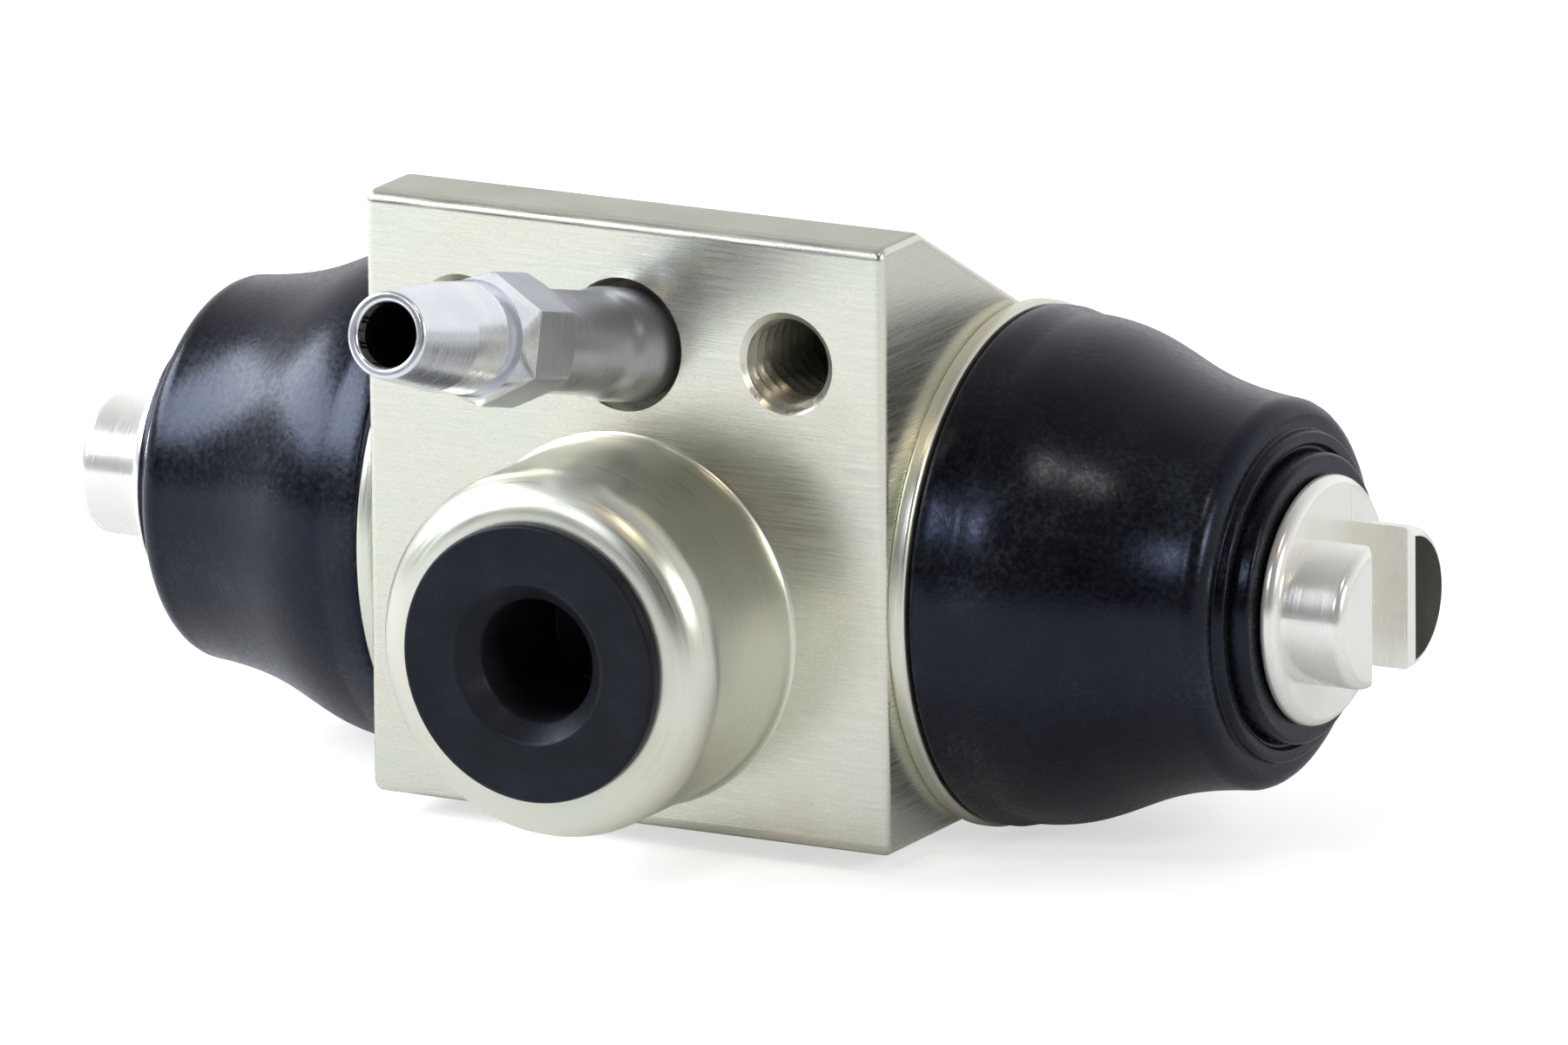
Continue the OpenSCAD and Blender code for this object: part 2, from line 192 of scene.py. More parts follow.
cast_zinc = finish("cast_zinc", cast_shades, patch=6 * mm, grain=0.45 * mm, roughness=(0.45, 0.62),
                   relief=0.05 * mm, sockets=zinc_sockets)


def block_section(inset):
    """The block's outline seen along the bore, drawn in by an inset: up the mounting face, over the flat
    top, down the slope and round the barrel."""
    face = inset - bore_y
    top = block_top - inset
    slope_y = (flat_r - inset - top * math.sin(slope_lean)) / math.cos(slope_lean)
    corner = block_corner - inset
    overlap = math.acos((flat_r - inset) / (barrel_r - inset))
    from_angle = slope_lean + overlap
    to_angle = -math.pi / 2 - overlap
    barrel_steps = 48
    barrel = []
    for step in range(barrel_steps + 1):
        angle = from_angle + (to_angle - from_angle) * step / barrel_steps
        barrel.append(((barrel_r - inset) * math.cos(angle), (barrel_r - inset) * math.sin(angle), 0))
    corners = [(face, inset - flat_r, corner), (face, top, corner), (slope_y, top, corner)]
    return softened(corners + barrel, steps=4)


edge_steps = 5
half_rings = []
for step in range(edge_steps + 1):
    angle = math.pi / 2 * step / edge_steps
    half_rings.append((block_half - block_edge * (1 - math.sin(angle)), block_edge * (1 - math.cos(angle))))
block_rings = [(-x, inset) for x, inset in reversed(half_rings)] + half_rings
block_shape = bmesh.new()
loops = []
for x, inset in block_rings:
    loops.append([block_shape.verts.new((x, bore_y + y, bore_z + z)) for y, z in block_section(inset)])
for lower, upper in zip(loops, loops[1:]):
    for index in range(len(lower)):
        block_shape.faces.new((lower[index - 1], lower[index], upper[index], upper[index - 1]))
block_shape.faces.new(loops[0])
block_shape.faces.new(loops[-1])
bmesh.ops.recalc_face_normals(block_shape, faces=block_shape.faces)
mostly = 0.5
for face in block_shape.faces:
    milled = face.normal.y < -mostly or abs(face.normal.x) > mostly
    face.material_index = 0 if milled else 1
housing = shown("housing_casting", block_shape, Matrix.Identity(4), [milled_zinc, cast_zinc])


def facing(origin, axis, side):
    """The place of a piece whose own Z runs along axis and whose X runs along side."""
    z = Vector(axis).normalized()
    x = Vector(side).normalized()
    return Matrix.Translation(origin) @ Matrix((x, z.cross(x), z)).transposed().to_4x4()


def wrapped(name, rows, place, material, steps=144, closed=False):
    """A piece wrapped round its own Z axis from (along, radius) rows. A radius may depend on the angle."""
    shape = bmesh.new()
    rings = []
    for along, radius in rows:
        if radius == 0:
            rings.append([shape.verts.new((0, 0, along))] * steps)
            continue
        ring = []
        for step in range(steps):
            angle = 2 * math.pi * step / steps
            reach = radius(angle) if callable(radius) else radius
            ring.append(shape.verts.new((reach * math.cos(angle), reach * math.sin(angle), along)))
        rings.append(ring)
    next_rings = rings[1:] + rings[:1] if closed else rings[1:]
    for lower, upper in zip(rings, next_rings):
        for step in range(steps):
            after = (step + 1) % steps
            corners = [lower[step], lower[after], upper[after], upper[step]]
            shape.faces.new(list(dict.fromkeys(corners)))
    return shown(name, shape, place, [material])


def combined(piece, tool, operation):
    """The piece after the tool is joined to it or cut from it. The tool is used up."""
    change = piece.modifiers.new("change", "BOOLEAN")
    change.operation = operation
    change.object = tool
    change.solver = "EXACT"
    change.material_mode = "TRANSFER"
    bpy.context.view_layer.update()
    depsgraph = bpy.context.evaluated_depsgraph_get()
    shape = bpy.data.meshes.new_from_object(piece.evaluated_get(depsgraph))
    piece.modifiers.clear()
    piece.data = shape
    bpy.data.objects.remove(tool)
    return piece


# The flange and the nose at each end
flange_r = 16 * mm
flange_t = 1.1 * mm
flange_edge = 0.3 * mm
flange_sink = 0.05 * mm
nose_wall = 4.9 * mm
groove_depth = 1 * mm
groove_w = 2 * mm
mouth_chamfer = 0.5 * mm
rim_x = block_half + flange_t
nose_r = bore_r + nose_wall
nose_end_x = housing_high.x
groove_root_r = nose_r - groove_depth
groove_from = rim_x + (nose_end_x - rim_x - groove_w) / 2
turned_steps = 192
flange_zinc = finish("turned_flange_zinc", zinc_shades, patch=zinc_patch, grain=0.1 * mm,
                     stretch=(1, 60, 60), roughness=(0.26, 0.4), relief=0.003 * mm, sockets=zinc_sockets)
flange_and_nose = softened([
    (block_half - overrun, 0, 0),
    (block_half - overrun, groove_root_r, 0),
    (block_half - flange_sink, groove_root_r, 0),
    (block_half - flange_sink, flange_r, flange_edge),
    (rim_x, flange_r, flange_edge),
    (rim_x, nose_r, 0),
    (groove_from, nose_r, 0),
    (groove_from, groove_root_r, 0),
    (groove_from + groove_w, groove_root_r, 0),
    (groove_from + groove_w, nose_r, 0),
    (nose_end_x - mouth_chamfer, nose_r, 0),
    (nose_end_x, nose_r - mouth_chamfer, 0),
    (nose_end_x, 0, 0)])
for side in (1, -1):
    end_place = facing(bore_centre, side * right, up)
    end_piece = wrapped("end", flange_and_nose, end_place, flange_zinc, steps=turned_steps)
    combined(housing, end_piece, "UNION")

# The pilot boss
boss_r = 11.3 * mm
boss_len = -housing_low.y
boss_edge = 2.7 * mm
boss_fillet = 0.45 * mm
boss_foot = 0.02 * mm
boss_place = facing(Vector((0, 0, 0)), forward, right)
boss_zinc = finish("turned_boss_zinc", zinc_shades, patch=zinc_patch, grain=0.1 * mm, stretch=(60, 1, 60),
                   roughness=(0.27, 0.4), relief=0.003 * mm, sockets=zinc_sockets)
boss_rows = softened([
    (-overrun, 0, 0),
    (-overrun, boss_r + boss_fillet, 0),
    (-boss_foot, boss_r + boss_fillet + boss_foot, 0),
    (-boss_foot, boss_r, boss_fillet),
    (boss_len, boss_r, boss_edge),
    (boss_len, 0, 0)], steps=12)
boss = wrapped("boss", boss_rows, boss_place, boss_zinc, steps=turned_steps)
combined(housing, boss, "UNION")

# The bore, chamfered at both mouths
bore_rows = [
    (-nose_end_x - overrun, 0),
    (-nose_end_x - overrun, bore_r + mouth_chamfer),
    (-nose_end_x, bore_r + mouth_chamfer),
    (-nose_end_x + mouth_chamfer, bore_r),
    (nose_end_x - mouth_chamfer, bore_r),
    (nose_end_x, bore_r + mouth_chamfer),
    (nose_end_x + overrun, bore_r + mouth_chamfer),
    (nose_end_x + overrun, 0)]
combined(housing, wrapped("bore", bore_rows, facing(bore_centre, right, up), flange_zinc), "DIFFERENCE")


def thread_rows(core_r, crest_r, pitch, start, end):
    """Rows of a screw thread: a V-shaped ridge that climbs one pitch in each turn."""
    rows_per_pitch = 6
    count = round((end - start) / pitch * rows_per_pitch)

    def ridge(along):
        def radius(angle):
            share = (along / pitch - angle / (2 * math.pi)) % 1
            return core_r + (crest_r - core_r) * abs(2 * share - 1)
        return radius

    places = [start + (end - start) * step / count for step in range(count + 1)]
    return [(along, ridge(along)) for along in places]


# The two tapped and countersunk mounting holes
hole_x = 11.1 * mm
row_z = 17 * mm
hole_mouth_r = 3.15 * mm
hole_depth = 12 * mm
mount_core_r = 2.5 * mm
mount_crest_r = 3 * mm
fine_pitch = 1 * mm
drill_point = 0.5
hole_steps = 72
# Darker plating for the threads and the walls of the holes, the screw's recess and the passages: painted
# shade in the holes.
hole_shade_shades = [(0.28, 0.26, 0.20), (0.36, 0.34, 0.27)]
painted_shade_hole_zinc = finish("threaded_zinc_painted_shade", hole_shade_shades, patch=4 * mm, grain=0.2 * mm, roughness=(0.25, 0.4),
                     relief=0.004 * mm, sockets={"Metallic": 0.4})
hole_rows = [(-hole_depth - drill_point * mount_core_r, 0)]
hole_rows += thread_rows(mount_core_r, mount_crest_r, fine_pitch, -hole_depth, overrun)
hole_rows += [(overrun, 0)]
countersink_rows = [(mount_core_r - hole_mouth_r, 0), (mount_core_r - hole_mouth_r, mount_core_r)]
countersink_rows += [(overrun, hole_mouth_r + overrun), (overrun, 0)]
for x in (-hole_x, hole_x):
    hole_place = facing(Vector((x, 0, row_z)), forward, right)
    hole = wrapped("mounting_hole", hole_rows, hole_place, painted_shade_hole_zinc, steps=hole_steps)
    combined(housing, hole, "DIFFERENCE")
    countersink = wrapped("countersink", countersink_rows, hole_place, boss_zinc, steps=hole_steps)
    combined(housing, countersink, "DIFFERENCE")

# The tapped fluid inlet in the boss, with its passage to the bore
inlet_core_r = 4.5 * mm
inlet_crest_r = 5 * mm
inlet_depth = 13 * mm
inlet_lead = 0.5 * mm
passage_r = 1.1 * mm
inlet_from = boss_len - inlet_depth
inlet_rows = [(-bore_y, 0), (-bore_y, passage_r), (inlet_from - drill_point * inlet_core_r, passage_r)]
inlet_rows += thread_rows(inlet_core_r, inlet_crest_r, fine_pitch, inlet_from, boss_len - inlet_lead)
inlet_rows += [(boss_len, inlet_crest_r), (boss_len + overrun, inlet_crest_r), (boss_len + overrun, 0)]
combined(housing, wrapped("inlet", inlet_rows, boss_place, painted_shade_hole_zinc, steps=hole_steps), "DIFFERENCE")

# The recessed hole of the bleed screw, with its passage to the bore
bleed_joint = next(joint for joint in frame["joints"] if joint["name"] == "bleed_turn")
bleed_axis = Vector(bleed_joint["axis"]).normalized()
bleed_place = facing(Vector(bleed_joint["pos_m"]), bleed_axis, right)
screw_inside = 13 * mm
screw_clear = 0.06 * mm
screw_seat_len = 2 * mm
screw_thread_r = 3 * mm
screw_hole_r = screw_thread_r + screw_clear
screw_hole_end = screw_inside + screw_clear
recess_r = 4 * mm
recess_depth = 1.6 * mm
screw_hole_rows = [
    (-screw_hole_end, 0),
    (-screw_hole_end, passage_r),
    (screw_seat_len - screw_hole_end, screw_hole_r),
    (-recess_depth, screw_hole_r),
    (-recess_depth, recess_r),
    (2 * recess_r, recess_r),
    (2 * recess_r, 0)]
# The recess and the screw's hole take the darker hole plating, painted shade.
combined(housing, wrapped("screw_hole", screw_hole_rows, bleed_place, painted_shade_hole_zinc), "DIFFERENCE")
passage_foot = bleed_place @ Vector((0, 0, screw_seat_len / 2 - screw_inside))
passage_rows = [(bore_z, 0), (bore_z, passage_r), (passage_foot.z, passage_r), (passage_foot.z, 0)]
passage_place = facing(Vector((0, passage_foot.y, 0)), up, right)
combined(housing, wrapped("passage", passage_rows, passage_place, painted_shade_hole_zinc, steps=36), "DIFFERENCE")


def smoothed(piece, angle=34):
    """Shades the piece smooth, with its edges over that angle kept sharp and its flats kept even."""
    piece.data.shade_smooth()
    piece.data.set_sharp_from_angle(angle=math.radians(angle))
    even = piece.modifiers.new("even_flats", "WEIGHTED_NORMAL")
    even.keep_sharp = True
    return piece


smoothed(housing)
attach(housing, "cylinder")
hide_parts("housing")

# Return spring, cup expanders and cup seals
# Inside the bore a steel coil spring, its end turns closed up, pushes two pressed steel expanders apart.
# Each one keeps the lip of a moulded rubber cup against the bore, behind its piston. The spring is made in
# two halves that meet in the middle.
spring_low, spring_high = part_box("return_spring")
wire_r = 0.6 * mm
spring_turns = 6
closed_share = 1 / spring_turns
spring_end = spring_high.x - wire_r
coil_r = (spring_high.z - spring_low.z) / 2 - wire_r
wire_sides = 16
coil_steps = 150
wire_shades = [(0.20, 0.21, 0.22), (0.30, 0.30, 0.31)]
spring_steel = finish("drawn_wire", wire_shades, patch=2 * mm, grain=0.15 * mm, roughness=(0.25, 0.4),
                      relief=0.003 * mm, sockets={"Metallic": 1.0})
pressed_shades = [(0.42, 0.42, 0.41), (0.52, 0.52, 0.50)]
pressed_steel = finish("pressed_steel", pressed_shades, patch=3 * mm, grain=0.2 * mm, roughness=(0.3, 0.45),
                       relief=0.004 * mm, sockets={"Metallic": 1.0})
cup_shades = [(0.012, 0.012, 0.013), (0.02, 0.02, 0.022)]
cup_rubber = finish("cup_rubber", cup_shades, patch=3 * mm, grain=0.3 * mm, roughness=(0.4, 0.55),
                    relief=0.01 * mm, sockets={"Specular IOR Level": 0.4})


def wire_x(share):
    """How far along the bore the wire has come at a share of its length."""
    from_end = min(share, 1 - share)
    along = (spring_end - 2 * wire_r) * (0.5 - from_end) / (0.5 - closed_share)
    if from_end < closed_share:
        along = spring_end - 2 * wire_r * from_end / closed_share
    return along if share > 0.5 else -along


sides = (("left", -1), ("right", 1))
for side_name, side in sides:
    coil_shape = bmesh.new()
    rings = []
    for step in range(coil_steps + 1):
        share = 0.5 + side * 0.5 * step / coil_steps
        turn = 2 * math.pi * spring_turns * share
        ring = []
        for wire_step in range(wire_sides):
            around = 2 * math.pi * wire_step / wire_sides
            reach = coil_r + wire_r * math.cos(around)
            along = wire_x(share) + wire_r * math.sin(around)
            ring.append(coil_shape.verts.new((along, reach * math.cos(turn), reach * math.sin(turn))))
        rings.append(ring)
    for lower, upper in zip(rings, rings[1:]):
        for index in range(wire_sides):
            coil_shape.faces.new((lower[index - 1], lower[index], upper[index], upper[index - 1]))
    coil_shape.faces.new(rings[0])
    coil_shape.faces.new(rings[-1])
    spring = shown("coil_spring_" + side_name, coil_shape, Matrix.Translation(bore_centre), [spring_steel])
    smoothed(spring)
    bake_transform(spring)
    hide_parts("return_spring")
    for node_name, material in (("cup_expander_", pressed_steel), ("cup_seal_", cup_rubber)):
        inner_mesh = frame["nodes"][node_name + side_name].data
        inner_mesh.materials.clear()
        inner_mesh.materials.append(material)

# Pistons
# Steel pistons with a bright plate. A neck takes the boot's lip behind the collar, and in front of it two
# half-round prongs stand either side of the slot for the web of the brake shoe. The end of the prong that is
# farther from the mounting face is painted near black, as a painted dark reflection.
piston_in_x = piston_low.x
piston_end_x = piston_high.x
prong_r = 4.4 * mm
prong_y = 2.5 * mm
prong_len = 4.1 * mm
prong_edge = 0.7 * mm
collar_r = 7.6 * mm
collar_t = 1.1 * mm
collar_back_edge = 0.3 * mm
collar_front_edge = 0.7 * mm
neck_r = 6.6 * mm
neck_len = 3.9 * mm
slot_half = 2.5 * mm
slot_lip = 0.35 * mm
slot_sink = 0.02 * mm
slot_reach = 2 * prong_r
end_tolerance = 0.01 * mm
collar_front_x = piston_end_x - prong_len
collar_back_x = collar_front_x - collar_t
neck_x = collar_back_x - neck_len
prong_root_x = collar_front_x - collar_t / 2
slot_floor_x = collar_front_x - slot_sink
piston_shades = [(0.91, 0.90, 0.84), (0.96, 0.95, 0.91), (0.93, 0.95, 0.90)]
piston_plate = finish("bright_piston_plate", piston_shades, patch=4 * mm, grain=0.08 * mm,
                      stretch=(40, 40, 1), roughness=(0.16, 0.28), relief=0.002 * mm,
                      sockets={"Metallic": 0.6})
# Near-black colours for the far prong's end: a painted dark reflection.
far_end_reflection_shades = [(0.008, 0.008, 0.004), (0.020, 0.019, 0.011), (0.040, 0.037, 0.022)]
painted_reflection_prong_end = finish("prong_end_painted_dark_reflection", far_end_reflection_shades, patch=2.5 * mm, grain=0.1 * mm, stretch=(40, 1, 1),
                    roughness=(0.3, 0.42), relief=0.003 * mm, sockets={"Specular IOR Level": 0.1})
piston_rows = softened([
    (piston_in_x, 0, 0),
    (piston_in_x, piston_r, mouth_chamfer),
    (neck_x, piston_r, mouth_chamfer),
    (neck_x, neck_r, 0),
    (collar_back_x, neck_r, 0),
    (collar_back_x, collar_r, collar_back_edge),
    (collar_front_x, collar_r, collar_front_edge),
    (collar_front_x, 0, 0)], steps=8)
prong_rows = softened([
    (prong_root_x, 0, 0),
    (prong_root_x, prong_r, 0),
    (piston_end_x, prong_r, prong_edge),
    (piston_end_x, 0, 0)], steps=8)
slot_outline = [
    (-slot_half - slot_lip - overrun, piston_end_x + overrun),
    (-slot_half - slot_lip, piston_end_x),
    (-slot_half, piston_end_x - slot_lip),
    (-slot_half, slot_floor_x),
    (slot_half, slot_floor_x),
    (slot_half, piston_end_x - slot_lip),
    (slot_half + slot_lip, piston_end_x),
    (slot_half + slot_lip + overrun, piston_end_x + overrun)]
for side_name, side in sides:
    piston_place = facing(bore_centre, side * right, up)
    piston = wrapped("slotted_piston_" + side_name, piston_rows, piston_place, piston_plate)
    for y in (-prong_y, prong_y):
        prong_place = facing(bore_centre + Vector((0, y, 0)), side * right, up)
        combined(piston, wrapped("prong", prong_rows, prong_place, piston_plate), "UNION")
    slot_shape = bmesh.new()
    slot_face = slot_shape.faces.new([slot_shape.verts.new((-slot_reach, y, z)) for y, z in slot_outline])
    slot_walls = bmesh.ops.extrude_face_region(slot_shape, geom=[slot_face])
    slot_far = [item for item in slot_walls["geom"] if isinstance(item, bmesh.types.BMVert)]
    bmesh.ops.translate(slot_shape, verts=slot_far, vec=(2 * slot_reach, 0, 0))
    combined(piston, shown("slot", slot_shape, piston_place, [piston_plate]), "DIFFERENCE")
    piston.data.materials.append(painted_reflection_prong_end)
    painted_end_index = len(piston.data.materials) - 1
    # Paints the end of the far prong near black, a painted dark reflection.
    for face in piston.data.polygons:
        if face.center.z > piston_end_x - end_tolerance and face.center.y * side < 0:
            face.material_index = painted_end_index
    smoothed(piston)
    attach(piston, side_name + "_piston")
    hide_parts("piston_" + side_name)

# Dust boots
# Moulded rubber boots. The thick root snaps into the groove of the nose, and the lip sits on the piston's
# neck behind its collar, with the bell between them. Two rings step down from the bead at the bell's front
# to the lip.
boot_low, boot_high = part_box("dust_boot_right")
boot_wall = 1.6 * mm
boot_clear = 0.05 * mm
boot_root_r = (boot_high.z - boot_low.z) / 2
root_face = 1 * mm
root_edge = 0.5 * mm
root_w = 1.3 * mm
shoulder_x = rim_x + 2.5 * mm
shoulder_r = boot_root_r - 0.3 * mm

lip_clear = 0.12 * mm
lip_edge = 0.3 * mm
boot_lip_x = boot_high.x
boot_lip_r = neck_r + lip_clear

boot_bead_r = 11.9 * mm
bead_edge = 1.4 * mm
bead_rounding = 0.96 * bead_edge
bead_wall = 1.2 * mm
bead_x = boot_lip_x - 3.1 * mm
bead_front_x = bead_x + bead_edge

bead_step = 0.4 * mm
front_draft = 0.1 * mm
front_foot_edge = 0.15 * mm
front_ring_w = 0.75 * mm
front_ring_edge = 0.2 * mm
front_ring_x = boot_lip_x - 1.05 * mm
front_groove_w = 0.25 * mm
front_groove_edge = 0.1 * mm
front_groove_x = boot_lip_x - 1.45 * mm
bead_foot_r = boot_bead_r - bead_edge - bead_step
front_ring_r = bead_foot_r - front_draft
ring_foot_r = front_ring_r - front_ring_w
groove_out_r = ring_foot_r - front_draft
groove_in_r = groove_out_r - front_groove_w
lip_foot_r = groove_in_r - front_draft

outer_shoulder_pull = 5.5 * mm
outer_shoulder_fall = 0.1 * mm
outer_bead_pull = 7.8 * mm
outer_bead_rise = 0.7 * mm
inner_bead_pull = 8.6 * mm
inner_bead_rise = 0.5 * mm
inner_shoulder_pull = 4.5 * mm
cavity_clear = 0.4 * mm
cavity_end_x = bead_x - bead_wall
nose_gap = 0.2 * mm
nose_fit_r = nose_r + boot_clear
root_fit_r = groove_root_r + boot_clear

boot_shades = [(0.002, 0.002, 0.002), (0.003, 0.003, 0.004), (0.007, 0.008, 0.010), (0.022, 0.026, 0.030)]
boot_sockets = {"Specular IOR Level": 0.36, "Specular Tint": (0.62, 0.70, 1.0, 1.0)}
boot_rubber = finish("boot_rubber", boot_shades, patch=7 * mm, grain=0.35 * mm, roughness=(0.2, 0.32),
                     relief=0.012 * mm, sockets=boot_sockets)


def curved(start, start_pull, end_pull, end, steps=28):
    """Points on a cubic curve between two (along, radius) points, drawn towards a pull point near each
    end."""
    pulls = (start, start_pull, end_pull, end)
    points = []
    for step in range(steps + 1):
        t = step / steps
        u = 1 - t
        shares = (u ** 3, 3 * u * u * t, 3 * u * t * t, t ** 3)
        along = sum(share * pull[0] for share, pull in zip(shares, pulls))
        radius = sum(share * pull[1] for share, pull in zip(shares, pulls))
        points.append((along, radius))
    return points


boot_outside = softened([
    (rim_x + boot_clear, boot_root_r - root_face, 0),
    (rim_x + boot_clear, boot_root_r, root_edge),
    (rim_x + root_w, boot_root_r, 0)])
boot_outside += curved((shoulder_x, shoulder_r),
                       (shoulder_x + outer_shoulder_pull, shoulder_r - outer_shoulder_fall),
                       (bead_x - outer_bead_pull, boot_bead_r + outer_bead_rise),
                       (bead_x, boot_bead_r))
front_rings = softened([
    (bead_x, boot_bead_r, 0),
    (bead_front_x, boot_bead_r, bead_rounding),
    (bead_front_x, bead_foot_r, front_foot_edge),
    (front_ring_x, front_ring_r, front_ring_edge),
    (front_ring_x, ring_foot_r, front_foot_edge),
    (front_groove_x, groove_out_r, front_groove_edge),
    (front_groove_x, groove_in_r, front_groove_edge),
    (boot_lip_x, lip_foot_r, lip_edge),
    (boot_lip_x, boot_lip_r, 0)])[1:]
boot_inside = [
    (neck_x + lip_clear, boot_lip_r),
    (neck_x + lip_clear, boot_lip_r + boot_wall),
    (cavity_end_x, piston_r + cavity_clear)]
boot_inside += curved((cavity_end_x, boot_bead_r - boot_wall),
                      (bead_x - inner_bead_pull, boot_bead_r - boot_wall + inner_bead_rise),
                      (shoulder_x + inner_shoulder_pull, shoulder_r - boot_wall),
                      (nose_end_x + 2 * nose_gap, nose_fit_r + nose_gap))
boot_inside += [
    (nose_end_x + nose_gap, nose_fit_r),
    (groove_from + groove_w - boot_clear, nose_fit_r),
    (groove_from + groove_w - boot_clear, root_fit_r),
    (groove_from + boot_clear, root_fit_r),
    (groove_from + boot_clear, nose_fit_r),
    (rim_x + boot_clear, nose_fit_r)]
boot_rows = boot_outside + front_rings + boot_inside
for side_name, side in sides:
    boot_place = facing(bore_centre, side * right, up)
    boot = wrapped("rubber_boot_" + side_name, boot_rows, boot_place, boot_rubber, steps=160, closed=True)
    smoothed(boot, angle=50)
    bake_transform(boot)
    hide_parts("dust_boot_" + side_name)

# Bleed screw
# A turned and zinc-plated steel screw that seats on a cone inside the housing. Outside it has a collar, a
# neck, a hexagon for the spanner and a hollow nozzle for the bleed hose. The nozzle and the front of the
# hexagon are painted lighter than the rest: a painted highlight.
screw_outside = 29.6 * mm
screw_core_r = 2.4 * mm
screw_seat = screw_clear - screw_inside
screw_thread_from = screw_seat + screw_seat_len
screw_collar_r = 3.45 * mm
screw_collar_edge = 0.3 * mm
screw_collar_back = 0.3 * mm - recess_depth
screw_collar_end = 2.6 * mm
screw_neck_r = 3.15 * mm
screw_neck_from = screw_collar_end + 2.6 * mm
screw_neck_pull = 1.4 * mm

hex_flat_r = 3.5 * mm
hex_corner_r = hex_flat_r / math.cos(math.radians(30))
hex_chamfer = hex_corner_r - hex_flat_r
hex_from = 12.4 * mm
hex_end = hex_from + 6.7 * mm
hex_lead = 2 * mm
chamfer_steps = 4

nozzle_throat_r = 2.5 * mm
nozzle_throat_edge = 0.2 * mm
barb_r = 3.4 * mm
barb_at = hex_end + 1.5 * mm
barb_len = 3.4 * mm
barb_edge = 0.6 * mm
barb_taper = 0.15 * mm
barb_front_edge = 1 * mm
tip_r = 2.6 * mm
tip_edge = 0.25 * mm
tip_hole_r = 1.95 * mm
tip_hole_depth = 1 * mm
nozzle_bore_from = screw_thread_from + 1 * mm
screw_shades = [(0.36, 0.37, 0.40), (0.43, 0.44, 0.48), (0.50, 0.51, 0.56)]
screw_plate = finish("plated_screw", screw_shades, patch=4 * mm, grain=0.09 * mm, stretch=(40, 40, 1),
                     roughness=(0.26, 0.4), relief=0.003 * mm, sockets={"Metallic": 0.9})
# A lighter copy of the screw plating for the nozzle: a painted highlight.
nozzle_highlight_shades = [(0.72, 0.74, 0.78), (0.82, 0.84, 0.88), (0.90, 0.91, 0.94)]
painted_highlight_nozzle_plate = finish("nozzle_plate_painted_highlight", nozzle_highlight_shades, patch=4 * mm, grain=0.09 * mm,
                      stretch=(40, 40, 1), roughness=(0.2, 0.32), relief=0.002 * mm,
                      sockets={"Metallic": 0.9})
# Near-black colours for the wall inside the nozzle's bore: painted shade in the hole.
bore_shadow_shades = [(0.002, 0.002, 0.002), (0.006, 0.006, 0.007)]
painted_shade_bore = finish("nozzle_bore_painted_shade", bore_shadow_shades, patch=2 * mm, grain=0.2 * mm, roughness=(0.5, 0.65),
                   relief=0.004 * mm, sockets={"Specular IOR Level": 0.1})


def hexagon(limit):
    """The radius of a hexagon at an angle, cut off by a cone of that radius."""
    def radius(angle):
        from_flat = (angle + math.pi / 6) % (math.pi / 3) - math.pi / 6
        return min(hex_flat_r / math.cos(from_flat), limit)
    return radius


screw_rows = [(screw_seat, 0), (screw_seat, passage_r - screw_clear), (screw_thread_from, screw_core_r)]
screw_rows += thread_rows(screw_core_r, screw_thread_r, fine_pitch, screw_thread_from, screw_collar_back)
screw_rows += softened([
    (screw_collar_back, screw_core_r, 0),
    (screw_collar_back, screw_collar_r, screw_collar_edge),
    (screw_collar_end, screw_collar_r, 0)])
screw_rows += curved((screw_collar_end, screw_collar_r),
                     (screw_collar_end + screw_neck_pull, screw_collar_r),
                     (screw_neck_from - screw_neck_pull, screw_neck_r),
                     (screw_neck_from, screw_neck_r), steps=10)
screw_rows += [(hex_from, screw_neck_r)]
for step in range(chamfer_steps + 1):
    share = step / chamfer_steps
    screw_rows.append((hex_from + hex_chamfer * share, hexagon(hex_flat_r + hex_chamfer * share)))
for step in range(chamfer_steps + 1):
    share = step / chamfer_steps
    screw_rows.append((hex_end - hex_lead * (1 - share), hexagon(hex_corner_r - hex_chamfer * share)))
screw_rows += softened([
    (hex_end, nozzle_throat_r, 0),
    (barb_at - barb_edge, nozzle_throat_r, nozzle_throat_edge),
    (barb_at - barb_edge, barb_r, barb_edge),
    (barb_at + barb_len, barb_r - barb_taper, barb_front_edge),
    (screw_outside, tip_r, tip_edge),
    (screw_outside, tip_hole_r, tip_edge),
    (screw_outside - tip_hole_depth, tip_hole_r, 0),
    (screw_outside - tip_hole_depth, 0, 0)])
screw = wrapped("hollow_bleed_screw", screw_rows, bleed_place, screw_plate, steps=96)
nozzle_bore_rows = [
    (nozzle_bore_from, 0),
    (nozzle_bore_from, passage_r),
    (hex_end, passage_r),
    (hex_end, tip_hole_r),
    (screw_outside - tip_edge, tip_hole_r),
    (screw_outside - tip_edge, 0)]
combined(screw, wrapped("nozzle_bore", nozzle_bore_rows, bleed_place, painted_shade_bore, steps=96), "DIFFERENCE")
screw.data.materials.append(painted_highlight_nozzle_plate)
highlight_index = len(screw.data.materials) - 1
# Gives the nozzle and the hexagon's front the lighter plating, a painted highlight.
for face in screw.data.polygons:
    if face.center.z > hex_end - hex_lead and face.material_index == 0:
        face.material_index = highlight_index
smoothed(screw)
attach(screw, "bleeder")
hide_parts("bleed_screw")

